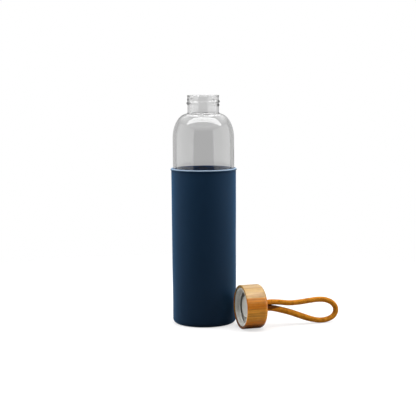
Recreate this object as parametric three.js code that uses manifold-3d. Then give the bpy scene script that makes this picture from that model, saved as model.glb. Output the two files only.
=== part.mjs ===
// A glass drinking bottle in a silicone sleeve, with its bamboo screw cap lying beside it on the table.
// Millimetres, +Z up. The origin is on the table under the bottle's axis, and +X runs along the cap's axis.
import * as THREE from "three";
import { mergeVertices } from "three/addons/utils/BufferGeometryUtils.js";
import Module from "manifold-3d";

const wasm = await Module();
wasm.setup();

// ---- driving dimensions ----
const GAP = 0.3; // between pieces that touch
const SEGMENTS = 48; // facets round every turned piece
const ARC = 4; // steps in a rounded edge
const FINE_ARC = 3; // steps in an edge of under a millimetre

// silicone sleeve; edge and boreEdge round its closed end outside and inside
const SLEEVE = {
  height: 159.4, topR: 33, baseR: 32.4, boreR: 31.5, floor: 2, edge: 4.8, boreEdge: 4, rim: 0.4,
};
const BEAD = { proud: 0.7, height: 2.2, edge: 0.9, flank: 0.6 };

// glass bottle: edge and innerEdge round the heel outside and inside, the kick is the hollow under it
const GLASS_R = SLEEVE.boreR - GAP;
const GLASS = { foot: SLEEVE.floor + GAP, wall: 2, edge: 3.7, innerEdge: 5, floor: 4.5, floorDip: 1 };
const KICK = { r: 19, rise: 2, edge: 3, rim: 2.5 };
// The shoulder is a quarter of an ellipse, which the neck's fillet cuts short, outside and inside.
const SHOULDER = { start: 189.8, rise: 24.8, topR: 15.9, ends: 84, innerEnds: 78 };
const NECK = { r: 15.95, boreR: 13.6, fillet: 1.8, innerFillet: 3, lip: 233.1, lipEdge: 0.75 };
const FILLET_START = 262; // the angle at which both fillets leave the shoulder

// screw thread, single and right-handed: on the neck, and in the cap's insert
const PITCH = 3.6;
const THREAD = { turns: 1.6, start: 222.9, bead: 1.2, phase: -41 };
const SOCKET = { turns: 1.25, start: 4.7, bead: 1, phase: 0 };
const RIDGE = { sides: 8, stepsPerTurn: 30, proud: 0.05, runOut: 0.08, sunk: 0.95 };

// cap, measured along its own axis from the plane of its mouth
const CAP = {
  r: 22.1, length: 22, crown: 4, mouthEdge: 0.8, boreR: 19.8, bore: 17.6, chamfer: 0.3,
  holeR: 5.75, holeEdge: 0.6,
};
const CAP_MOUTH_X = 23.8;
const CAP_AXIS_Y = -44.7;
const INSERT = { r: CAP.boreR - GAP, mouth: 0.5, wallR: 17.45, roof: 15.2, lead: 0.5, edge: 0.3 };
const BOSS = { r: 10.8, face: 5, wall: 1.4, edge: 0.8 };
const SEAL = { boreR: 11.2, thick: 1.9, edge: 0.4 };

// carrying cord, its two ends side by side in the cap's hole
const CORD = { r: 2.7, sides: 10, steps: 56, apart: 2.75 };
const KNOT = { r: 7.6, length: 8.2, clearance: 0.6, lobe: 80 };
// The loop's middle line: distance beyond the cap's top, and height above the table.
const LOOP = [
  [0.3, 24.85], [3, 24.85], [6.9, 24.95], [12, 25.15], [20, 24.4], [30.3, 23], [40.8, 23.1],
  [51.4, 24], [61.9, 24.6], [70.2, 23.6], [76.9, 20.5], [80.8, 15.9], [81.3, 10.8],
  [78.4, 6.2], [72.4, 3.5], [64.6, 2.8], [56.6, 4.2], [48.8, 6.7], [40.9, 9.7], [30.4, 13.7],
  [20, 16.9], [12, 18.9], [6.9, 19.25], [3, 19.35], [0.3, 19.35],
];

// ---- solids ----
function solidOf(geometry) {
  const bare = geometry.clone();
  bare.deleteAttribute("normal");
  bare.deleteAttribute("uv");
  const merged = mergeVertices(bare, 1e-4);
  return new wasm.Manifold(
    new wasm.Mesh({
      numProp: 3,
      vertProperties: merged.attributes.position.array,
      triVerts: new Uint32Array(merged.index.array),
    }),
  );
}

function geometryOf(solid) {
  const mesh = solid.getMesh();
  const positions = new THREE.BufferAttribute(mesh.vertProperties, mesh.numProp);
  return new THREE.BufferGeometry()
    .setAttribute("position", positions)
    .setIndex(new THREE.BufferAttribute(mesh.triVerts, 1));
}

// An outline of [radius, height] points turned about Z. It runs up the inside and down the outside.
function turned(outline) {
  const points = outline.map(([r, z]) => new THREE.Vector2(Math.max(r, 0), z));
  return new THREE.LatheGeometry(points.reverse(), SEGMENTS).rotateX(Math.PI / 2);
}

// Points on an arc about [cr, cz], from one angle to another in degrees: 0 points outwards, 90 up.
function arc(cr, cz, radius, from, to, steps = ARC, stretch = 1) {
  return Array.from({ length: steps + 1 }, (_, i) => {
    const a = THREE.MathUtils.degToRad(from + ((to - from) * i) / steps);
    return [cr + radius * Math.cos(a), cz + radius * stretch * Math.sin(a)];
  });
}

function circle(radius, sides) {
  const shape = new THREE.Shape();
  for (let i = 0; i < sides; i++) {
    const a = (2 * Math.PI * i) / sides;
    shape[i ? "lineTo" : "moveTo"](radius * Math.cos(a), radius * Math.sin(a));
  }
  return shape;
}

function tube(curve, radius, sides, steps) {
  return new THREE.ExtrudeGeometry(circle(radius, sides), { extrudePath: curve, steps });
}

// A right-hand helix about Z. Its radius changes by `fade` at both ends, so that a thread runs out smoothly.
class Helix extends THREE.Curve {
  constructor(radius, start, turns, phase, fade) {
    super();
    Object.assign(this, { radius, start, turns, phase, fade });
  }

  getPoint(t, target = new THREE.Vector3()) {
    const faded = 1 - THREE.MathUtils.smoothstep(Math.min(t, 1 - t), 0, RIDGE.runOut);
    const r = this.radius + this.fade * faded;
    const a = THREE.MathUtils.degToRad(this.phase) + 2 * Math.PI * this.turns * t;
    const rise = PITCH * this.turns * t;
    return target.set(r * Math.cos(a), r * Math.sin(a), this.start + rise);
  }
}

// A round-topped thread ridge on the outside of a neck (side 1) or in a bore (side -1).
// Its middle lies just proud of the wall, and sinks into the wall at both ends.
function thread({ bead, start, turns, phase }, wallR, side) {
  const middleR = wallR + side * RIDGE.proud;
  const helix = new Helix(middleR, start, turns, phase, -side * bead * RIDGE.sunk);
  return solidOf(tube(helix, bead, RIDGE.sides, Math.round(RIDGE.stepsPerTurn * turns)));
}

// ---- glass bottle ----
// The shoulder's outline, or its inner face where shrink is the wall's thickness.
function shoulder(shrink, from, to, steps) {
  const across = GLASS_R - SHOULDER.topR - shrink;
  const stretch = (SHOULDER.rise - shrink) / across;
  return arc(SHOULDER.topR, SHOULDER.start, across, from, to, steps, stretch);
}

function glassBottle() {
  const { foot, wall, edge, innerEdge, floor, floorDip } = GLASS;
  const { r, boreR, fillet, innerFillet, lip, lipEdge } = NECK;
  const neckFoot = SHOULDER.start + SHOULDER.rise + fillet - 0.1;
  const innerHeel = foot + floor - floorDip + innerEdge;
  const inside = [
    [0, foot + floor],
    ...arc(GLASS_R - wall - innerEdge, innerHeel, innerEdge, -75, 0),
    ...shoulder(wall, 0, SHOULDER.innerEnds, 8),
    ...arc(boreR + innerFillet, neckFoot - 0.3, innerFillet, FILLET_START, 180, FINE_ARC),
    ...arc(boreR + lipEdge, lip - lipEdge, lipEdge, 180, 90, FINE_ARC),
  ];
  const outside = [
    ...arc(r - lipEdge, lip - lipEdge, lipEdge, 90, 0, FINE_ARC),
    ...arc(r + fillet, neckFoot, fillet, 180, FILLET_START, FINE_ARC),
    ...shoulder(0, SHOULDER.ends, 0, 12),
    ...arc(GLASS_R - edge, foot + edge, edge, 0, -90),
    [KICK.r + KICK.rim, foot],
    ...arc(KICK.r, foot + KICK.rise - KICK.edge, KICK.edge, 30, 90, 2),
    [0, foot + KICK.rise],
  ];
  return solidOf(turned([...inside, ...outside])).add(thread(THREAD, r, 1));
}

// ---- silicone sleeve ----
function sleeve() {
  const { height, topR, baseR, boreR, floor, edge, boreEdge, rim } = SLEEVE;
  const beadFoot = height - BEAD.height;
  const beadR = topR + BEAD.proud;
  const inside = [
    [0, floor],
    ...arc(boreR - boreEdge, floor + boreEdge, boreEdge, -90, 0),
    [boreR, height - rim],
    [boreR + rim, height],
  ];
  const outside = [
    ...arc(beadR - BEAD.edge, height - BEAD.edge, BEAD.edge, 90, 0, FINE_ARC),
    [beadR, beadFoot + BEAD.flank],
    [topR, beadFoot],
    ...arc(baseR - edge, edge, edge, 0, -90, 5),
    [0, 0],
  ];
  return solidOf(turned([...inside, ...outside]));
}

// ---- cap, standing on its mouth with its top up ----
function bambooCap() {
  const { r, length, crown, mouthEdge, boreR, bore, chamfer, holeR, holeEdge } = CAP;
  return solidOf(turned([
    [boreR, chamfer],
    [boreR, bore],
    [holeR, bore],
    [holeR, length - holeEdge],
    [holeR + holeEdge, length],
    ...arc(r - crown, length - crown, crown, 90, 0),
    ...arc(r - mouthEdge, mouthEdge, mouthEdge, 0, -90, FINE_ARC),
    [boreR + chamfer, 0],
    [boreR, chamfer],
  ]));
}

function threadedInsert() {
  const { r, mouth, wallR, roof, lead, edge } = INSERT;
  const top = CAP.bore - GAP;
  const shell = solidOf(turned([
    [0, BOSS.face],
    ...arc(BOSS.r - BOSS.edge, BOSS.face + BOSS.edge, BOSS.edge, -90, 0, FINE_ARC),
    [BOSS.r, roof],
    [wallR, roof],
    [wallR, mouth + lead],
    [wallR + lead, mouth],
    [r - edge, mouth],
    [r, mouth + edge],
    [r, top],
    [BOSS.r - BOSS.wall, top],
    [BOSS.r - BOSS.wall, BOSS.face + BOSS.wall],
    [0, BOSS.face + BOSS.wall],
  ].reverse()));
  return shell.add(thread(SOCKET, wallR, -1));
}

function sealRing() {
  const top = INSERT.roof - GAP;
  const foot = top - SEAL.thick;
  const outerR = INSERT.wallR - GAP;
  const e = SEAL.edge;
  return solidOf(turned([
    [SEAL.boreR, foot + e],
    [SEAL.boreR, top],
    [outerR, top],
    [outerR, foot + e],
    [outerR - e, foot],
    [SEAL.boreR + e, foot],
    [SEAL.boreR, foot + e],
  ]));
}

// The stop knot of two turns in the boss's pocket, and the cord's two ends running out through the hole.
function cordKnot() {
  const foot = BOSS.face + BOSS.wall + KNOT.clearance;
  const middle = foot + KNOT.length / 2;
  const half = KNOT.length / 4;
  const lobes = [foot + half, middle + half].flatMap((centre) =>
    arc(KNOT.r - half, centre, half, -KNOT.lobe, KNOT.lobe));
  const knot = solidOf(turned([[0, foot], ...lobes, [0, foot + KNOT.length]].reverse()));
  const strand = (side) => {
    const at = (z) => new THREE.Vector3(side * CORD.apart, 0, z);
    const line = new THREE.LineCurve3(at(middle), at(CAP.length));
    return solidOf(tube(line, CORD.r, CORD.sides, 1));
  };
  return knot.add(strand(1)).add(strand(-1));
}

// ---- cord loop, in the object's frame ----
function cordLoop() {
  const top = CAP_MOUTH_X + CAP.length;
  const points = LOOP.map(([out, up]) => new THREE.Vector3(top + out, CAP_AXIS_Y, up));
  return solidOf(tube(new THREE.CatmullRomCurve3(points), CORD.r, CORD.sides, CORD.steps));
}

// ---- the assembly ----
const silicone = { color: 0x1d2f47, roughness: 0.6, metalness: 0 };
const glass = { color: 0xe3eae8, roughness: 0.05, metalness: 0, transparent: true, opacity: 0.35 };
const bamboo = { color: 0xc48a45, roughness: 0.5, metalness: 0 };
const plastic = { color: 0xe2e0da, roughness: 0.35, metalness: 0 };
const seal = { color: 0xd5d8d6, roughness: 0.6, metalness: 0 };
const cord = { color: 0xb8752c, roughness: 0.85, metalness: 0 };

function piece(name, solid, look) {
  const mesh = new THREE.Mesh(geometryOf(solid), new THREE.MeshStandardMaterial(look));
  mesh.name = name;
  return mesh;
}

const capGroup = new THREE.Group();
capGroup.position.set(CAP_MOUTH_X, CAP_AXIS_Y, CAP.r);
capGroup.rotation.y = Math.PI / 2;
capGroup.add(
  piece("bamboo_cap", bambooCap(), bamboo),
  piece("threaded_insert", threadedInsert(), plastic),
  piece("seal_ring", sealRing(), seal),
  piece("cord_knot", cordKnot(), cord),
);

const bottle = new THREE.Group();
bottle.add(
  piece("silicone_sleeve", sleeve(), silicone),
  piece("glass_bottle", glassBottle(), glass),
  capGroup,
  piece("cord_loop", cordLoop(), cord),
);

export default bottle;
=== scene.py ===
"""A glass drinking bottle in a silicone sleeve, with its bamboo screw cap and cord loop lying beside it.

Every piece is built in the row frame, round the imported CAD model. Outlines and sizes are in millimetres, as
the design is, and MM turns them into metres. The camera, the lights and the floor are in metres.
"""

import math

import bmesh
import bpy
import numpy as np
from mathutils import Matrix, Vector


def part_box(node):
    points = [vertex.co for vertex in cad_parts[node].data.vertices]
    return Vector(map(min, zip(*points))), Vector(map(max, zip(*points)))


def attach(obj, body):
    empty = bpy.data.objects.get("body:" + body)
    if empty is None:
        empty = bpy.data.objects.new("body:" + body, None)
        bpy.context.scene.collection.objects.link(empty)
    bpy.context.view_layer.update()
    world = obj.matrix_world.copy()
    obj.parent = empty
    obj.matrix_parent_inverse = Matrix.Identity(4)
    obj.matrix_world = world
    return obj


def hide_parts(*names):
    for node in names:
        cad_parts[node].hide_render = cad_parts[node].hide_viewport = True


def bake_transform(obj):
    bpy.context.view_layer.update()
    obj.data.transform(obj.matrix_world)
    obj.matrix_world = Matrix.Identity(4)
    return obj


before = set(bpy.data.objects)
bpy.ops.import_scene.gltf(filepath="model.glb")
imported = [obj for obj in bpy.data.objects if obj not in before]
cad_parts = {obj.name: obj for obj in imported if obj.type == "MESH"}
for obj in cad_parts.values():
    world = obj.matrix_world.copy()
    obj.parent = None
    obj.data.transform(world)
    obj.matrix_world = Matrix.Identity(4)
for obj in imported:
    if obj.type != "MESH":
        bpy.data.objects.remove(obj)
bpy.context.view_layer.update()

MM = 0.001

# ---- places and sizes read from the frame, in millimetres ----


def box_mm(node):
    """The lowest and the highest corner of a CAD node."""
    low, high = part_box(node)
    return np.array(low) / MM, np.array(high) / MM


sleeve_high = box_mm("silicone_sleeve")[1]
glass_low, glass_high = box_mm("glass_bottle")
cap_low, cap_high = box_mm("bamboo_cap")
insert_low, insert_high = box_mm("threaded_insert")

BEAD_R, SLEEVE_TOP = sleeve_high[0], sleeve_high[2]
GLASS_R = (glass_high[0] - glass_low[0]) / 2
GLASS_FOOT, LIP = glass_low[2], glass_high[2]
CAP_R = (cap_high[2] - cap_low[2]) / 2
CAP_LENGTH = cap_high[0] - cap_low[0]
CAP_TOP_X = cap_high[0]
CAP_MOUTH = np.array([cap_low[0], (cap_low[1] + cap_high[1]) / 2, cap_low[2] + CAP_R])
INSERT_R = (insert_high[2] - insert_low[2]) / 2

# ---- sizes that the frame's boxes don't give, in millimetres ----
SLEEVE = dict(top_r=33.0, base_r=32.4, bore_r=31.5, floor=2.0, edge=4.8, bore_edge=4.0, rim=0.4)
BEAD = dict(height=2.2, top_edge=1.6, foot_edge=0.55, root=0.1, root_drop=0.15)
UNEVEN = dict(depth=0.12, fade=12.0)  # the soft wall's waves, and over what height they start and end
GLASS = dict(wall=2.0, heel=3.7, inner_heel=5.0, floor=4.5, floor_dip=1.0)
KICK = dict(r=19.0, rise=2.0, edge=3.0)
SHOULDER = dict(start=189.8, rise=24.8, top_r=15.9, end=84, inner_end=78)  # the ends in degrees
NECK = dict(r=15.95, bore_r=13.6, fillet=1.8, fillet_sink=0.1, inner_fillet=3.0, inner_sink=0.4,
            fillet_end=262, lip_edge=0.75, lip_flare=0.4)
CAP = dict(crown=4.0, mouth_edge=0.8, bore_r=19.8, bore=17.6, chamfer=0.3, hole_r=5.75, hole_edge=0.6)
INSERT = dict(mouth=0.5, wall_r=17.45, roof=15.2, top=17.3, lead=0.5, edge=0.3, root=0.5)
BOSS = dict(r=10.8, face=5.0, wall=1.4, edge=0.8)
DISH = dict(r=9.3, depth=0.25, slope=0.2, foot_edge=0.15, rim_edge=0.12)  # sunk in the boss's face
SEAL = dict(bore_r=11.2, outer_r=17.15, foot=13.0, top=14.9, edge=0.4)

# Threads: heights are above the table on the neck and from the mouth in the cap; angles are in degrees.
THREAD = dict(pitch=3.6, step=0.15, run_out=0.13, flank=1.5, at_parting=0.45)
NECK_THREAD = dict(turns=1.6, start=222.9, phase=-41.0, height=1.1, half_width=1.6, parting=72.0,
                   zone=(219.6, 230.6))
INSERT_THREAD = dict(turns=1.25, start=4.7, phase=0.0, height=-1.0, half_width=1.2, parting=None,
                     zone=(2.2, 12.4))

CORD_R = 2.7
CORD_APART = 2.75  # from the hole's axis to the middle of each of the two strands in it
CORD_IN_HOLE = 4.0  # how far the loop's mesh runs back into the cap's hole
# The loop's middle line: distance beyond the cap's top, and height above the table.
LOOP = [
    (0.3, 24.85), (3, 24.85), (6.9, 24.95), (12, 25.15), (20, 24.4), (30.3, 23), (40.8, 23.1),
    (51.4, 24), (61.9, 24.6), (70.2, 23.6), (76.9, 20.5), (80.8, 15.9), (81.3, 10.8),
    (78.4, 6.2), (72.4, 3.5), (64.6, 2.8), (56.6, 4.2), (48.8, 6.7), (40.9, 9.7), (30.4, 13.7),
    (20, 16.9), (12, 18.9), (6.9, 19.25), (3, 19.35), (0.3, 19.35),
]
BRAID = dict(strands=12, cell=1.7, proud=0.04, depth=0.2, weave=0.45)
FULLER = dict(lower=0.15, upper=0.06)  # how much fuller than CORD_R each strand is in places
KNOT = dict(foot=9.2, top=13.0, coil_r=7.1, strand_r=2.1, turns=1.55, spread_by=0.16, climb=(0.3, 0.8),
            stub_heights=(15.0, 12.0), overlap=0.5)

FACETS = 192  # round a turned piece


# ---- outlines ----
def arc(cr, cz, radius, start, end, steps=8, stretch=1.0):
    """Points on an arc about (cr, cz), angles in degrees: 0 points outwards and 90 up."""
    angles = np.radians(np.linspace(start, end, steps + 1))
    return [(cr + radius * math.cos(a), cz + radius * stretch * math.sin(a)) for a in angles]


def with_support(outline, step=4.0, near=0.15, closed=False):
    """The outline with extra points on its long straight stretches, so that the shading stays even."""
    made = []
    count = len(outline) if closed else len(outline) - 1
    for i in range(count):
        a = np.array(outline[i], float)
        b = np.array(outline[(i + 1) % len(outline)], float)
        length = np.linalg.norm(b - a)
        made.append(a)
        if length > 4 * near:
            inner = np.linspace(near, length - near, max(2, math.ceil(length / step) + 1))
            made.extend(a + (b - a) * t / length for t in inner)
    if not closed:
        made.append(np.array(outline[-1], float))
    return np.array(made)


# ---- meshes ----
def mesh_object(name, points, faces, sharp=40.0, values=None):
    """A smooth-shaded mesh from points in millimetres, with its faces turned outwards.

    Edges over `sharp` degrees stay sharp. values holds a number for each point, by attribute name.
    """
    mesh = bpy.data.meshes.new(name)
    mesh.from_pydata((np.asarray(points) * MM).tolist(), [], faces)
    for label, numbers in (values or {}).items():
        attribute = mesh.attributes.new(label, "FLOAT", "POINT")
        attribute.data.foreach_set("value", numbers.astype(np.float32))
    shell = bmesh.new()
    shell.from_mesh(mesh)
    bmesh.ops.remove_doubles(shell, verts=shell.verts, dist=1e-7)
    bmesh.ops.recalc_face_normals(shell, faces=shell.faces)
    shell.to_mesh(mesh)
    shell.free()
    mesh.polygons.foreach_set("use_smooth", [True] * len(mesh.polygons))
    mesh.set_sharp_from_angle(angle=math.radians(sharp))
    return placed(name, mesh)


def placed(name, data):
    """An object of this mesh, camera or light, in the scene."""
    made = bpy.data.objects.new(name, data)
    bpy.context.scene.collection.objects.link(made)
    return made


def grid_faces(rows, columns, wrap_rows=False):
    """Quads of a grid of points that closes on itself from its last column to its first."""
    row, column = np.meshgrid(np.arange(rows - (not wrap_rows)), np.arange(columns), indexing="ij")
    next_row, next_column = (row + 1) % rows, (column + 1) % columns
    corners = [row * columns + column, row * columns + next_column,
               next_row * columns + next_column, next_row * columns + column]
    return np.stack(corners, -1).reshape(-1, 4)


def turned(outline, relief=None, closed=False):
    """Points and faces of an outline turned about Z. relief(angle, r, z) is added to the radius."""
    angle = np.linspace(0, 2 * math.pi, FACETS, endpoint=False)[None, :]
    r, z = outline[:, :1], outline[:, 1:]
    radius = r + (relief(angle, r, z) if relief else np.zeros_like(angle))
    grid = np.stack([radius * np.cos(angle), radius * np.sin(angle), z + 0 * angle], -1)
    return grid.reshape(-1, 3), grid_faces(len(outline), FACETS, closed).tolist()


def laid_down(points):
    """Points of a cap piece, built mouth down on Z, laid along +X where the cap lies."""
    x, y, z = np.asarray(points).T
    return np.stack([z, y, -x], -1) + CAP_MOUTH


def thread_wall(wall_r, thread):
    """The wall under a thread, from the top of its zone down, in steps fine enough to carry it."""
    low, high = thread["zone"]
    return [(wall_r, z) for z in np.arange(high, low, -THREAD["step"])]


def thread_relief(thread, wall_r):
    """A rounded helical ridge on the wall of this radius, which runs out at both ends.

    It is lower at the mould's parting line, which is at the angle `parting` and opposite.
    """
    turns, width = thread["turns"], thread["half_width"]

    def relief(angle, r, z):
        round_it = (np.degrees(angle) - thread["phase"]) / 360 % 1
        total = np.zeros(np.broadcast(angle, z).shape)
        for turn in range(math.ceil(turns) + 1):
            t = round_it + turn
            across = np.clip(np.abs(z - thread["start"] - THREAD["pitch"] * t) / width, 0, 1)
            ends = eased(np.minimum(t, turns - t), 0, THREAD["run_out"])
            total = np.maximum(total, (1 - across**2) ** THREAD["flank"] * ends)
        if thread["parting"] is not None:
            away = np.sin(angle - math.radians(thread["parting"])) ** 2
            total = total * (THREAD["at_parting"] + (1 - THREAD["at_parting"]) * away)
        return total * thread["height"] * (np.abs(r - wall_r) < 0.01)

    return relief


def eased(value, start, end):
    """0 at start, 1 at end and smooth between."""
    t = np.clip((value - start) / (end - start), 0, 1)
    return t * t * (3 - 2 * t)


# ---- pieces ----
def shoulder(shrink, start, end, steps):
    """The shoulder's quarter ellipse, or its inner face where shrink is the wall's thickness."""
    across = GLASS_R - SHOULDER["top_r"] - shrink
    stretch = (SHOULDER["rise"] - shrink) / across
    return arc(SHOULDER["top_r"], SHOULDER["start"], across, start, end, steps, stretch)


def glass_bottle():
    wall, heel, inner_heel = GLASS["wall"], GLASS["heel"], GLASS["inner_heel"]
    neck_r, bore_r, lip_edge = NECK["r"], NECK["bore_r"], NECK["lip_edge"]
    fillet, inner_fillet = NECK["fillet"], NECK["inner_fillet"]
    fillet_end = NECK["fillet_end"]
    shoulder_top = SHOULDER["start"] + SHOULDER["rise"] + fillet
    floor = GLASS_FOOT + GLASS["floor"]
    inside = [
        (0, floor),
        *arc(GLASS_R - wall - inner_heel, floor - GLASS["floor_dip"] + inner_heel, inner_heel, -75, 0, 12),
        *shoulder(wall, 0, SHOULDER["inner_end"], 32),
        *arc(bore_r + inner_fillet, shoulder_top - NECK["inner_sink"], inner_fillet, fillet_end, 180, 10),
        *arc(bore_r + lip_edge, LIP - lip_edge, lip_edge, 180, 90),
    ]
    lip_r = neck_r + NECK["lip_flare"]
    outside = [
        *arc(lip_r - lip_edge, LIP - lip_edge, lip_edge, 90, -50, 12),
        *thread_wall(neck_r, NECK_THREAD),
        *arc(neck_r + fillet, shoulder_top - NECK["fillet_sink"], fillet, 180, fillet_end, 10),
        *shoulder(0, SHOULDER["end"], 0, 40),
        *arc(GLASS_R - heel, GLASS_FOOT + heel, heel, 0, -90, 12),
        *arc(KICK["r"], GLASS_FOOT + KICK["rise"] - KICK["edge"], KICK["edge"], 20, 90, 8),
        (0, GLASS_FOOT + KICK["rise"]),
    ]
    points, faces = turned(with_support(inside + outside), thread_relief(NECK_THREAD, neck_r))
    return mesh_object("glass_bottle_blown", points, faces)


def silicone_sleeve():
    top_r, base_r, bore_r = SLEEVE["top_r"], SLEEVE["base_r"], SLEEVE["bore_r"]
    edge, bore_edge, rim = SLEEVE["edge"], SLEEVE["bore_edge"], SLEEVE["rim"]
    top_edge, foot_edge = BEAD["top_edge"], BEAD["foot_edge"]
    bead_foot = SLEEVE_TOP - BEAD["height"]
    inside = [
        (0, SLEEVE["floor"]),
        *arc(bore_r - bore_edge, SLEEVE["floor"] + bore_edge, bore_edge, -90, 0, 12),
        *arc(bore_r + rim, SLEEVE_TOP - rim, rim, 180, 90, 6),
    ]
    outside = [
        *arc(BEAD_R - top_edge, SLEEVE_TOP - top_edge, top_edge, 90, 0),
        *arc(BEAD_R - foot_edge, bead_foot + foot_edge, foot_edge, 0, -90, 6),
        (top_r + BEAD["root"], bead_foot),
        (top_r, bead_foot - BEAD["root_drop"]),
        *arc(base_r - edge, edge, edge, 0, -90, 16),
        (0, 0),
    ]

    def uneven(angle, r, z):
        """Slow waves in the soft outer wall, which fade out at the rim and the base."""
        fade = np.clip((z - edge) / UNEVEN["fade"], 0, 1) * np.clip((bead_foot - z) / UNEVEN["fade"], 0, 1)
        waves = 0.5 * np.sin(3 * angle + 1.3) * np.sin(z / 23 + 0.4)
        waves = waves + 0.35 * np.sin(5 * angle - 0.7) * np.cos(z / 15 + 1.1)
        waves = waves + 0.25 * np.sin(2 * angle + 2.4) * np.cos(z / 9)
        return UNEVEN["depth"] * waves * fade * (r > bore_r + rim)

    points, faces = turned(with_support(inside + outside, step=2.5), uneven)
    return mesh_object("silicone_sleeve_moulded", points, faces)


def bamboo_cap():
    crown, mouth_edge, chamfer = CAP["crown"], CAP["mouth_edge"], CAP["chamfer"]
    bore_r, hole_r, hole_edge = CAP["bore_r"], CAP["hole_r"], CAP["hole_edge"]
    outline = [
        *arc(bore_r + chamfer, chamfer, chamfer, 270, 180, 4),
        (bore_r, CAP["bore"]),
        (hole_r, CAP["bore"]),
        *arc(hole_r + hole_edge, CAP_LENGTH - hole_edge, hole_edge, 180, 90, 6),
        *arc(CAP_R - crown, CAP_LENGTH - crown, crown, 90, 0, 16),
        *arc(CAP_R - mouth_edge, mouth_edge, mouth_edge, 0, -90, 8),
    ]
    points, faces = turned(with_support(outline, step=1.5, closed=True), closed=True)
    return mesh_object("bamboo_cap_turned", laid_down(points), faces)


def threaded_insert():
    """The wall with its thread, the roof, and the hollow boss, whose face is dished a little."""
    mouth, wall_r, roof, top = INSERT["mouth"], INSERT["wall_r"], INSERT["roof"], INSERT["top"]
    lead, edge, root = INSERT["lead"], INSERT["edge"], INSERT["root"]
    boss_r, face, boss_edge = BOSS["r"], BOSS["face"], BOSS["edge"]
    dish_r, dish, slope = DISH["r"], DISH["depth"], DISH["slope"]
    foot_edge, rim_edge = DISH["foot_edge"], DISH["rim_edge"]
    pocket_r, pocket_floor = boss_r - BOSS["wall"], face + BOSS["wall"]
    outline = [
        (0, face + dish),
        *arc(dish_r - slope, face + dish - foot_edge, foot_edge, 90, 30, 3),
        *arc(dish_r + slope, face + rim_edge, rim_edge, 210, 270, 3),
        *arc(boss_r - boss_edge, face + boss_edge, boss_edge, -90, 0, 8),
        *arc(boss_r + root, roof - root, root, 180, 90, 4),
        *arc(wall_r - root, roof - root, root, 90, 0, 4),
        *thread_wall(wall_r, INSERT_THREAD),
        *arc(wall_r + lead, mouth + lead, lead, 180, 270, 5),
        *arc(INSERT_R - edge, mouth + edge, edge, -90, 0, 4),
        (INSERT_R, top),
        (pocket_r, top),
        (pocket_r, pocket_floor),
        (0, pocket_floor),
    ]
    points, faces = turned(with_support(outline, step=2.0), thread_relief(INSERT_THREAD, wall_r))
    return mesh_object("threaded_insert_moulded", laid_down(points), faces)


def seal_ring():
    edge = SEAL["edge"]
    inner, outer = SEAL["bore_r"] + edge, SEAL["outer_r"] - edge
    foot, top = SEAL["foot"] + edge, SEAL["top"] - edge
    outline = [
        *arc(inner, foot, edge, 270, 180, 5),
        *arc(inner, top, edge, 180, 90, 5),
        *arc(outer, top, edge, 90, 0, 5),
        *arc(outer, foot, edge, 0, -90, 5),
    ]
    points, faces = turned(with_support(outline, closed=True), closed=True)
    return mesh_object("seal_ring_moulded", laid_down(points), faces)


# ---- cord ----
def smooth_route(points, step):
    """Points about every `step` on a Catmull-Rom curve through the given ones, and how far along each is."""
    p = np.array(points, float)
    p = np.vstack([2 * p[0] - p[1], p, 2 * p[-1] - p[-2]])
    curve = []
    for a, b, c, d in zip(p, p[1:], p[2:], p[3:]):
        t = np.linspace(0, 1, 64, endpoint=False)[:, None]
        curve.append(0.5 * (2 * b + (c - a) * t + (2 * a - 5 * b + 4 * c - d) * t**2
                            + (3 * b - a - 3 * c + d) * t**3))
    line = np.vstack([*curve, p[-2:-1]])
    along = np.concatenate([[0], np.cumsum(np.linalg.norm(np.diff(line, axis=0), axis=1))])
    count = max(2, round(along[-1] / step) + 1)
    at = np.linspace(0, along[-1], count)
    return np.stack([np.interp(at, along, line[:, i]) for i in range(3)], -1), at


def carried_frames(line):
    """Two unit vectors across the line at each of its points, without twist."""
    tangent = np.gradient(line, axis=0)
    tangent /= np.linalg.norm(tangent, axis=1)[:, None]
    start = np.cross(tangent[0], [0.0, 1.0, 0.0])
    across = [start / np.linalg.norm(start)]
    for t in tangent[1:]:
        moved = across[-1] - t * (across[-1] @ t)
        across.append(moved / np.linalg.norm(moved))
    across = np.array(across)
    return across, np.cross(tangent, across)


def braid_relief(angle, along):
    """How far the crossing strands stand out, from 0 to 1, round the cord and along it."""
    turn = angle * BRAID["strands"] / (2 * math.pi)
    run = along[:, None] / BRAID["cell"]
    u, v = turn + run, turn - run
    bump_u = 1 - (2 * (u % 1) - 1) ** 2
    bump_v = 1 - (2 * (v % 1) - 1) ** 2
    over_u = BRAID["weave"] * np.where(np.floor(u) % 2, -1, 1) * np.sin(math.pi * v)
    over_v = -BRAID["weave"] * np.where(np.floor(v) % 2, -1, 1) * np.sin(math.pi * u)
    relief = np.maximum(bump_u + over_u, bump_v + over_v)
    return (relief - relief.min()) / (relief.max() - relief.min())


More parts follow.
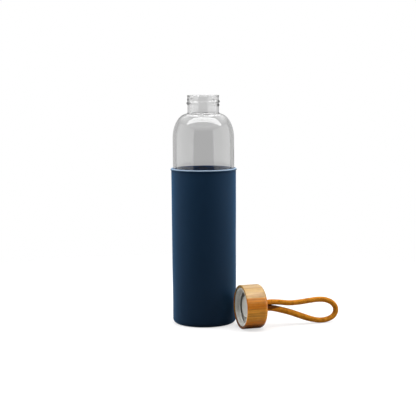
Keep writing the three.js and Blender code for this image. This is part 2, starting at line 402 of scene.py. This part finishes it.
def braided_tube(name, routes, radius, segments, step, girth=None, painted_strand_shade=None):
    """A round braided cord along each route, with its strands standing out of the surface.

    girth(line) gives the radius's factor along it, and the other function, given (line, ring), the painted
    shade where the strands shadow each other.
    """
    points, faces, reliefs, painted_shades = [], [], [], []
    angle = np.linspace(0, 2 * math.pi, segments, endpoint=False)[None, :]
    start = 0
    for route in routes:
        line, along = smooth_route(route, step)
        u_axis, v_axis = carried_frames(line)
        ring = np.cos(angle)[..., None] * u_axis[:, None] + np.sin(angle)[..., None] * v_axis[:, None]
        relief = braid_relief(angle, along)
        wide = radius * (girth(line) if girth else np.ones(len(line)))[:, None]
        r = wide + BRAID["proud"] - BRAID["depth"] * (1 - relief)
        points.append((line[:, None] + r[..., None] * ring).reshape(-1, 3))
        reliefs.append(relief.ravel())
        painted_shades.append((painted_strand_shade(line, ring) if painted_strand_shade else np.zeros_like(relief)).ravel())
        faces += (grid_faces(len(line), segments) + start).tolist()
        end = start + len(line) * segments
        faces += [list(range(start, start + segments))[::-1], list(range(end - segments, end))]
        start = end
    values = {"strand_relief": np.concatenate(reliefs), "painted_strand_shade": np.concatenate(painted_shades)}
    return mesh_object(name, np.vstack(points), faces, sharp=60, values=values)


def beyond_cap(line):
    """How far each point is beyond the cap's top, and whether it is on the lower strand."""
    return line[:, 0] - CAP_TOP_X, line[:, 2] < CAP_MOUTH[2]


# How the loop changes along its way, in millimetres beyond the cap's top.
def loop_girth(line):
    """The lower strand is fuller where it isn't pulled, and the upper one where they press together."""
    out, lower = beyond_cap(line)
    slack = FULLER["lower"] * eased(out, 2, 12) * eased(out, 62, 44) * lower
    pressed = FULLER["upper"] * eased(out, 1, 4) * eased(out, 15, 9) * ~lower
    return 1 + slack + pressed


def loop_painted_strand_shade(line, ring):
    """Painted shade where the strands shadow each other beside the cap, deepest and widest on the lower one.
    """
    out, lower = beyond_cap(line)
    towards = np.where(lower, 1, -1)[:, None] * ring[..., 2]
    reach = np.where(lower, 0.95 - 1.3 * eased(out, 24, 8), 0.98 - 0.5 * eased(out, 20, 8))[:, None]
    return eased(towards, reach - 0.15, reach + 0.3) * eased(out, 26, 16)[:, None]


def cord_loop():
    """The loop, the line it follows and its length, both in metres."""
    route = [(CAP_TOP_X + out, CAP_MOUTH[1], up) for out, up in LOOP]
    inside = [(CAP_TOP_X - CORD_IN_HOLE, CAP_MOUTH[1], CAP_MOUTH[2] + side * CORD_APART)
              for side in (1, -1)]
    route = [inside[0], *route, inside[1]]
    loop = braided_tube("cord_loop_braid", [route], CORD_R, segments=98, step=0.25, girth=loop_girth,
                        painted_strand_shade=loop_painted_strand_shade)
    line, along = smooth_route(route, 1.0)
    return loop, line * MM, along[-1] * MM


def cord_knot():
    """The stop knot in the boss's pocket: one end coiled round both, and the two stubs in the hole."""
    foot, top, coil_r = KNOT["foot"], KNOT["top"], KNOT["coil_r"]
    stub_heights = (CAP_LENGTH - CORD_IN_HOLE + KNOT["overlap"], *KNOT["stub_heights"])
    turn = np.linspace(0, 1, 40)
    angle = 2 * math.pi * KNOT["turns"] * turn
    out = CORD_APART + (coil_r - CORD_APART) * np.clip(turn / KNOT["spread_by"], 0, 1)
    height = foot + (top - foot) * eased(turn, *KNOT["climb"])
    coil = list(zip(out * np.cos(angle), out * np.sin(angle), height))
    coiled = [(CORD_APART, 0, z) for z in stub_heights] + coil
    straight = [(-CORD_APART, 0, z) for z in (*stub_heights, foot - 1)]
    return braided_tube("cord_knot_coil", [laid_down(coiled), laid_down(straight)], KNOT["strand_r"],
                        segments=56, step=0.4)


# ---- shader helpers ----
def new_material(name):
    material = bpy.data.materials.new(name)
    material.use_nodes = True
    material.node_tree.nodes.clear()
    return material, material.node_tree


def add(tree, kind, inputs=None, **settings):
    """A node with its settings, and its inputs linked or set by name or place."""
    made = tree.nodes.new(kind)
    for key, value in settings.items():
        setattr(made, key, value)
    for key, value in (inputs or {}).items():
        if isinstance(value, bpy.types.NodeSocket):
            tree.links.new(value, made.inputs[key])
        else:
            made.inputs[key].default_value = value
    return made


def grey(value):
    return (value, value, value)


def math_of(tree, operation, a, b=0.0, c=0.0, clamp=False):
    return add(tree, "ShaderNodeMath", {0: a, 1: b, 2: c}, operation=operation, use_clamp=clamp).outputs[0]


def vector_of(tree, operation, a, b=(0, 0, 0)):
    return add(tree, "ShaderNodeVectorMath", {0: a, 1: b}, operation=operation).outputs[0]


def length_of(tree, vector):
    return add(tree, "ShaderNodeVectorMath", {0: vector}, operation="LENGTH").outputs["Value"]


def part_of(tree, vector, axis):
    """The vector's X, Y or Z, as axis 0, 1 or 2."""
    return add(tree, "ShaderNodeSeparateXYZ", {0: vector}).outputs[axis]


def ranged(tree, value, start, end, interpolation="LINEAR"):
    """0 where the value is at start, 1 where it is at end."""
    made = add(tree, "ShaderNodeMapRange", {0: value, 1: start, 2: end}, interpolation_type=interpolation)
    return made.outputs[0]


def mixed(tree, factor, a, b, blend="MIX"):
    """A colour between two, each a socket or three numbers."""
    a, b = (x if isinstance(x, bpy.types.NodeSocket) else (*x, 1) for x in (a, b))
    made = add(tree, "ShaderNodeMix", {0: factor, 6: a, 7: b}, data_type="RGBA", blend_type=blend)
    return made.outputs[2]


def shaded(tree, colour, shade, amount=1.0):
    """The colour times the shade, or partly so."""
    return mixed(tree, amount, colour, shade, "MULTIPLY")


def ramp(tree, factor, stops, interpolation="LINEAR"):
    """The colour or grey that the stops give, each at its position from 0 to 1."""
    made = add(tree, "ShaderNodeValToRGB", {0: factor})
    made.color_ramp.interpolation = interpolation
    elements = made.color_ramp.elements
    while len(elements) < len(stops):
        elements.new(0.5)
    for element, (position, colour) in zip(elements, stops):
        element.position = position
        element.color = (*(grey(colour) if isinstance(colour, float) else colour), 1)
    return made.outputs[0]


def coordinates(tree, scale=(1, 1, 1), origin=(0, 0, 0)):
    """The point in metres from the origin, a point of the row frame, times the scale."""
    place = add(tree, "ShaderNodeTexCoord").outputs["Object"]
    return vector_of(tree, "MULTIPLY", vector_of(tree, "SUBTRACT", place, origin), scale)


def noise(tree, vector, scale=1.0, detail=3.0, roughness=0.5):
    return add(tree, "ShaderNodeTexNoise", {"Vector": vector, "Scale": scale, "Detail": detail,
                                            "Roughness": roughness}).outputs["Fac"]


def bump(tree, height, distance):
    return add(tree, "ShaderNodeBump", {"Height": height, "Distance": distance}).outputs[0]


def with_painted_recess_shade(tree, colour, dark):
    """The colour, turned to the dark one where the surface is closed in: painted shade in recesses."""
    open_to_air = add(tree, "ShaderNodeAmbientOcclusion", {"Distance": RECESS_SHADE["reach"]}, samples=8)
    in_the_open = ranged(tree, open_to_air.outputs["AO"], RECESS_SHADE["dark"], RECESS_SHADE["clear"], "SMOOTHSTEP")
    return mixed(tree, in_the_open, dark, colour)


def surface(tree, inputs):
    shader = add(tree, "ShaderNodeBsdfPrincipled", inputs)
    add(tree, "ShaderNodeOutputMaterial", {"Surface": shader.outputs[0]})


# ---- materials ----
NECK_SHADE_FADES = (0.205, 0.222)  # heights in metres between which the glass's grey cast, painted shade, fades out
RECESS_SHADE = dict(reach=0.012, dark=0.1, clear=0.72)  # painted shade in recesses: how far it looks, in metres, and how open the dark and the clear places are
LAYER_WANDER = 0.0008  # how far the bamboo's glue lines wander, in metres
RIM_HIGHLIGHT_BAND = (0.0012, 0.0007)  # how far below the sleeve's top the painted highlight on its rim starts and is full, in metres


def clear_glass():
    """Glass with a slight wave and haze, and a grey cast of painted shade, stronger in the body than in the
    neck.
    """
    material, tree = new_material("clear_glass")
    wave = noise(tree, coordinates(tree, (1, 1, 0.35)), 38, 1.0)
    haze = noise(tree, coordinates(tree), 90, 4.0, 0.6)
    up_neck = ranged(tree, part_of(tree, coordinates(tree), 2), *NECK_SHADE_FADES, "SMOOTHSTEP")
    surface(tree, {
        # painted shade: a grey cast for the darker surroundings seen through the body, nearly gone in the
        # neck
        "Base Color": mixed(tree, up_neck, grey(0.835), grey(0.96)),
        "Roughness": ramp(tree, haze, [(0.45, 0.0), (0.8, 0.05)]),
        "IOR": 1.47,
        "Transmission Weight": 1.0,
        "Normal": bump(tree, wave, 0.0004),
    })
    return material


def navy_silicone():
    """Matt navy with a polished bead; painted shade darkens it towards the foot, a painted highlight runs
    along the top edge, and the bore is painted lighter and bluer in place of the light that reaches it
    through the glass.
    """
    material, tree = new_material("navy_silicone")
    place = coordinates(tree)
    cloudy = noise(tree, place, 45, 3.0)
    grain = noise(tree, place, 2600, 2.0)
    height = part_of(tree, place, 2)
    out = length_of(tree, vector_of(tree, "MULTIPLY", place, (1, 1, 0)))
    top = SLEEVE_TOP * MM

    matt = ramp(tree, cloudy, [(0.3, 0.54), (0.7, 0.62)])
    on_bead = math_of(tree, "GREATER_THAN", height, (SLEEVE_TOP - BEAD["height"]) * MM)

    navy = mixed(tree, cloudy, (0.0047, 0.0203, 0.047), (0.0062, 0.0238, 0.054))
    # painted shade by height: near black at the very foot, darker towards the foot and a little lighter near
    # the top
    painted_shade_by_height = [(0.0, 0.15), (0.025, 0.6), (0.5, 0.86), (1.0, 1.15)]
    colour = shaded(tree, navy, ramp(tree, math_of(tree, "DIVIDE", height, top), painted_shade_by_height))
    # painted highlight along the sleeve's top edge, where the rim catches the light from above
    top_edge = ranged(tree, height, *(top - below for below in RIM_HIGHLIGHT_BAND))
    colour = mixed(tree, top_edge, colour, (0.26, 0.35, 0.455))
    # painted light: the bore is lighter and bluer than the outside, standing in for light that reaches it
    # through the glass
    in_bore = math_of(tree, "LESS_THAN", out, (SLEEVE["bore_r"] + SLEEVE["rim"] + 0.1) * MM)
    above_foot = math_of(tree, "GREATER_THAN", height, SLEEVE["edge"] * MM)
    colour = mixed(tree, math_of(tree, "MULTIPLY", in_bore, above_foot), colour, (0.006, 0.065, 0.24))
    surface(tree, {
        "Base Color": colour,
        "Roughness": mixed(tree, on_bead, matt, grey(0.33)),
        "IOR": 1.41,
        "Specular IOR Level": 0.12,
        "Sheen Weight": 0.36,
        "Sheen Roughness": 0.45,
        "Sheen Tint": (0.07, 0.31, 0.66, 1),
        "Normal": bump(tree, grain, 0.00003),
    })
    return material


# The bamboo's glued layers, from the cap's lowest level, 0, to its highest, 1. Their tones are partly the
# layers' own and partly painted light: the darkest stop at the bottom is painted shade along the cap's
# underside, and the lower layers are painted lighter and the top one darker to even out the light from above.
BAMBOO_LAYERS_AND_SHADE = [
    (0.11, (0.2, 0.06, 0.006)),
    (0.19, (0.68, 0.22, 0.017)),
    (0.22, (0.62, 0.2, 0.014)),
    (0.34, (0.8, 0.36, 0.036)),
    (0.5, (0.74, 0.3, 0.026)),
    (0.55, (0.55, 0.17, 0.011)),
    (0.6, (0.55, 0.17, 0.011)),
    (0.66, (0.57, 0.2, 0.017)),
    (0.765, (0.55, 0.2, 0.017)),
    (0.78, (0.48, 0.3, 0.105)),
]


def bamboo():
    """Laminated bamboo: level layers glued together, toned partly by painted light and shade, with the fibres
    along the cap's axis.
    """
    material, tree = new_material("bamboo")
    centre = tuple(CAP_MOUTH * MM)
    place = coordinates(tree, origin=centre)
    off_line = math_of(tree, "SUBTRACT", noise(tree, place, 40, 1.0), 0.5)
    wander = math_of(tree, "MULTIPLY", off_line, LAYER_WANDER)
    height = math_of(tree, "ADD", part_of(tree, place, 2), wander)
    level = math_of(tree, "DIVIDE", math_of(tree, "ADD", height, CAP_R * MM), 2 * CAP_R * MM)

    fibres = noise(tree, coordinates(tree, (45, 1500, 1500), centre), roughness=0.6)
    streaks = noise(tree, coordinates(tree, (16, 620, 620), centre), detail=2.0)
    mottle = noise(tree, coordinates(tree, (120, 200, 200), centre), roughness=0.55)
    fibre_shade = ramp(tree, fibres, [(0.3, 0.7), (0.5, 1.0), (0.72, 1.14)])
    streak_shade = ramp(tree, streaks, [(0.34, (0.79, 0.71, 0.6)), (0.5, 1.0), (0.7, (1.12, 1.14, 1.16))])
    mottle_shade = ramp(tree, mottle, [(0.35, (0.86, 0.8, 0.72)), (0.6, 1.04)])
    colour = shaded(tree, ramp(tree, level, BAMBOO_LAYERS_AND_SHADE), fibre_shade)
    colour = shaded(tree, colour, streak_shade)
    colour = shaded(tree, colour, mottle_shade, 0.8)
    surface(tree, {
        "Base Color": colour,
        "Roughness": ramp(tree, fibres, [(0.3, 0.34), (0.7, 0.24)]),
        "Specular IOR Level": 0.25,
        "Normal": bump(tree, fibres, 0.00006),
    })
    return material


def white_plastic():
    material, tree = new_material("white_plastic")
    cloudy = noise(tree, coordinates(tree), 160, 2.0)
    fine = noise(tree, coordinates(tree), 1800, 2.0)
    white = mixed(tree, cloudy, (0.86, 0.84, 0.77), (0.92, 0.9, 0.83))
    surface(tree, {
        # painted shade in the insert's recesses: the groove round the boss and the thread
        "Base Color": with_painted_recess_shade(tree, white, (0.07, 0.05, 0.028)),
        "Roughness": ramp(tree, cloudy, [(0.3, 0.3), (0.7, 0.42)]),
        "Subsurface Weight": 0.15,
        "Subsurface Radius": grey(0.002),
        "Subsurface Scale": 1.0,
        "Normal": bump(tree, fine, 0.00002),
    })
    return material


def pale_silicone():
    material, tree = new_material("pale_silicone")
    cloudy = noise(tree, coordinates(tree), 200, 2.0)
    fine = noise(tree, coordinates(tree), 2500, 2.0)
    pale = mixed(tree, cloudy, (0.58, 0.6, 0.59), (0.64, 0.66, 0.65))
    surface(tree, {
        # painted shade where the seal ring sits closed in
        "Base Color": with_painted_recess_shade(tree, pale, (0.03, 0.028, 0.02)),
        "Roughness": ramp(tree, cloudy, [(0.3, 0.45), (0.7, 0.55)]),
        "Subsurface Weight": 0.3,
        "Subsurface Radius": grey(0.002),
        "Subsurface Scale": 1.0,
        "Normal": bump(tree, fine, 0.00002),
    })
    return material


def tan_cord():
    """Braided tan cord with painted shade in the grooves between its strands, patchy and fuzzy, and with
    painted shade, nearly black, where the loop's strands shadow each other.
    """
    material, tree = new_material("tan_cord")
    relief = add(tree, "ShaderNodeAttribute", attribute_name="strand_relief").outputs["Fac"]
    painted_strand_shade = add(tree, "ShaderNodeAttribute", attribute_name="painted_strand_shade").outputs["Fac"]
    fuzz = noise(tree, coordinates(tree), 3500, 3.0, 0.7)
    patches = noise(tree, coordinates(tree), 300, 3.0)
    # the yarn's own tan, with painted shade where the braid's strands dip into grooves
    yarn_and_groove_shade = ramp(tree, relief, [(0.15, (0.2, 0.062, 0.005)), (0.5, (0.52, 0.18, 0.012)),
                               (0.9, (0.62, 0.245, 0.018))])
    patch_shade = ramp(tree, patches, [(0.32, (0.72, 0.64, 0.54)), (0.5, 1.0), (0.68, (1.16, 1.18, 1.2))])
    colour = shaded(tree, yarn_and_groove_shade, patch_shade)
    colour = shaded(tree, colour, ramp(tree, fuzz, [(0.25, 0.8), (0.75, 1.15)]), 0.8)
    # painted shade, nearly black, where the loop's strands shadow each other beside the cap
    colour = mixed(tree, math_of(tree, "MULTIPLY", painted_strand_shade, 0.93), colour, (0.06, 0.014, 0.0005))
    surface(tree, {
        "Base Color": colour,
        "Roughness": ramp(tree, fuzz, [(0.2, 0.7), (0.8, 0.85)]),
        "Specular IOR Level": 0.06,
        "Sheen Weight": 0.08,
        "Sheen Roughness": 0.4,
        "Sheen Tint": (0.95, 0.5, 0.1, 1),
        "Normal": bump(tree, fuzz, 0.00008),
    })
    return material


# ---- stage: camera, light and floor, in metres and degrees ----
CAMERA = dict(location=(-0.3675, -1.1617, 0.2574), heading=17.754, pitch=6.518, roll=-0.377, focal=103.85)
HEADING = math.radians(CAMERA["heading"])
LOOK_AT = Vector((0.02, -0.02, 0.1))
STRIP = dict(place=(0.16, 0.19, 0.9), size=(2.8, 0.62))
LEAF = dict(near_power=3.0, far_power=1.7, crisp=8.0)  # how blunt each edge's ends are, and its sharpness
PANEL = dict(size=(1.35, 0.8), radiance=1.1, seen_by="mirrored and through")
SHADE = dict(size=(0.9, 0.6), radiance=3.1, seen_by="matt")
FLOOR_R = 1.2


def camera():
    data = bpy.data.cameras.new("camera")
    data.lens, data.sensor_width = CAMERA["focal"], 36.0
    data.clip_start, data.clip_end = 0.01, 50.0
    pitch, roll = math.radians(CAMERA["pitch"]), math.radians(CAMERA["roll"])
    level = math.cos(pitch)
    ahead = Vector((math.sin(HEADING) * level, math.cos(HEADING) * level, -math.sin(pitch)))
    turn = ahead.to_track_quat("-Z", "Y").to_matrix() @ Matrix.Rotation(roll, 3, "Z")
    made = placed("camera", data)
    made.matrix_world = Matrix.Translation(CAMERA["location"]) @ turn.to_4x4()
    bpy.context.scene.camera = made


def softbox(name, place, size, radiance, seen_by, level=False):
    """A soft light at `place`: metres to the right of LOOK_AT, towards the camera and up.

    seen_by says what it does: "matt" if it shades matt surfaces, "mirrored" if glossy ones mirror it, and
    "through" if it shines through glass. It faces LOOK_AT, or where level is true it shines straight down.
    """
    data = bpy.data.lights.new(name, "AREA")
    data.shape, data.size, data.size_y = "RECTANGLE", *size
    data.energy = radiance * math.pi * size[0] * size[1]
    made = placed(name, data)
    right, near, up = place
    offset = Matrix.Rotation(-HEADING, 3, "Z") @ Vector((right, -near, up))
    made.location = LOOK_AT + offset
    if level:
        made.rotation_euler = (0, 0, -HEADING)
    else:
        made.rotation_euler = (-offset).to_track_quat("-Z", "Y").to_euler()
    made.visible_camera = False
    made.visible_diffuse = "matt" in seen_by
    made.visible_glossy = "mirrored" in seen_by
    made.visible_transmission = "through" in seen_by
    return made


def light_tree(light):
    light.data.use_nodes = True
    light.data.node_tree.nodes.clear()
    return light.data.node_tree


def shine(tree, strength):
    emission = add(tree, "ShaderNodeEmission", {"Strength": strength})
    add(tree, "ShaderNodeOutputLight", {"Surface": emission.outputs[0]})


def never_seen_straight_through(light):
    """The light shows in glass only by reflection, so that it doesn't fill a clear wall in front of it."""
    tree = light_tree(light)
    bounces = add(tree, "ShaderNodeLightPath").outputs["Glossy Depth"]
    shine(tree, math_of(tree, "MULTIPLY", bounces, 1.0, clamp=True))


def leaf_light(name, place, size, radiance, seen_by):
    """A level softbox that narrows to a point at both ends, sooner on the side away from the camera."""
    tree = light_tree(softbox(name, place, size, radiance, seen_by, level=True))
    spot = add(tree, "ShaderNodeNewGeometry").outputs["Parametric"]
    along, across = (math_of(tree, "MULTIPLY_ADD", part_of(tree, spot, i), 2.0, -1.0) for i in (0, 1))
    outwards = math_of(tree, "ABSOLUTE", along)
    near_edge, far_edge = (math_of(tree, "SUBTRACT", 1.0, math_of(tree, "POWER", outwards, LEAF[power]))
                           for power in ("near_power", "far_power"))
    far_side = math_of(tree, "GREATER_THAN", across, 0.0)
    edge = add(tree, "ShaderNodeMix", {0: far_side, 2: near_edge, 3: far_edge}).outputs[0]
    inside = math_of(tree, "SUBTRACT", edge, math_of(tree, "ABSOLUTE", across))
    shine(tree, math_of(tree, "MULTIPLY", inside, LEAF["crisp"], clamp=True))


def lights():
    """A strip that the shoulder mirrors, a light above, and a bright panel and a soft light each side."""
    leaf_light("strip", **STRIP, radiance=8.5, seen_by="mirrored")
    leaf_light("strip_through", **STRIP, radiance=1.8, seen_by="through")
    softbox("top", place=(0, 0.1, 0.95), size=(1.4, 1.0), radiance=3.4, seen_by="matt", level=True)
    for name, side in (("left", -1), ("right", 1)):
        never_seen_straight_through(softbox(name + "_panel", place=(side * 0.78, 0.14, 0.11), **PANEL))
        softbox(name + "_shade", place=(side * 0.77, -0.07, 0.36), **SHADE)


def studio_world():
    """White to the camera and an even pale grey through glass. It lights from behind more than in front."""
    world = bpy.data.worlds.new("studio")
    world.use_nodes = True
    tree = world.node_tree
    tree.nodes.clear()
    direction = add(tree, "ShaderNodeTexCoord").outputs["Generated"]
    ahead = (math.sin(HEADING), math.cos(HEADING), 0.0)
    facing = add(tree, "ShaderNodeVectorMath", {0: direction, 1: ahead}, operation="DOT_PRODUCT")
    behind = math_of(tree, "MULTIPLY_ADD", facing.outputs["Value"], 0.5, 0.5)
    lit = ramp(tree, behind, [(0.0, 0.03), (0.35, 0.05), (0.65, 0.4), (1.0, 0.6)])
    overhead = ranged(tree, part_of(tree, direction, 2), 0.35, 0.6)
    mirrored = mixed(tree, overhead, lit, grey(3.0))
    through = ramp(tree, behind, [(0.0, 0.5), (0.4, 0.54), (0.75, 0.62), (1.0, 0.62)])
    path = add(tree, "ShaderNodeLightPath")
    level = mixed(tree, path.outputs["Is Glossy Ray"], lit, mirrored)
    level = mixed(tree, path.outputs["Is Transmission Ray"], level, through)
    level = mixed(tree, path.outputs["Is Camera Ray"], level, grey(1.0))
    shown = add(tree, "ShaderNodeBackground", {0: level, 1: 1.0})
    add(tree, "ShaderNodeOutputWorld", {"Surface": shown.outputs[0]})
    bpy.context.scene.world = world


def pale_floor():
    """Nearly white to the camera, grey to everything it lights, and gone at a distance."""
    material, tree = new_material("pale_floor")
    gone = ramp(tree, length_of(tree, coordinates(tree)), [(0.2, 0.0), (0.5, 1.0)], "EASE")
    by_camera = add(tree, "ShaderNodeLightPath").outputs["Is Camera Ray"]
    pale = add(tree, "ShaderNodeBsdfDiffuse", {"Color": mixed(tree, by_camera, grey(0.4), grey(0.95))})
    lit = add(tree, "ShaderNodeEmission", {"Color": (1, 1, 1, 1), "Strength": 1.0})
    lit_from_below = math_of(tree, "MULTIPLY", by_camera, 0.6)
    top = add(tree, "ShaderNodeMixShader", {0: lit_from_below, 1: pale.outputs[0], 2: lit.outputs[0]})
    clear = add(tree, "ShaderNodeBsdfTransparent")
    mix = add(tree, "ShaderNodeMixShader", {0: gone, 1: top.outputs[0], 2: clear.outputs[0]})
    add(tree, "ShaderNodeOutputMaterial", {"Surface": mix.outputs[0]})
    return material


def floor():
    """A round table top that fades into the white round it."""
    mesh = bpy.data.meshes.new("floor")
    disc = bmesh.new()
    bmesh.ops.create_circle(disc, cap_ends=True, segments=96, radius=FLOOR_R)
    disc.to_mesh(mesh)
    disc.free()
    mesh.materials.append(pale_floor())
    placed("floor", mesh)


def finish_piece(piece, material, node, body=None):
    piece.data.materials.append(material)
    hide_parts(node)
    if body:
        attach(piece, body)


# ---- the scene ----
camera()
cord_material = tan_cord()
loop, loop_line, loop_length = cord_loop()
finish_piece(loop, cord_material, "cord_loop")
finish_piece(cord_knot(), cord_material, "cord_knot", "knot")
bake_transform(loop)

finish_piece(glass_bottle(), clear_glass(), "glass_bottle", "bottle")
finish_piece(silicone_sleeve(), navy_silicone(), "silicone_sleeve", "sleeve")
finish_piece(bamboo_cap(), bamboo(), "bamboo_cap", "cap")
finish_piece(threaded_insert(), white_plastic(), "threaded_insert", "cap")
finish_piece(seal_ring(), pale_silicone(), "seal_ring", "cap")

floor()
studio_world()
lights()
bpy.context.scene.view_settings.view_transform = "Standard"
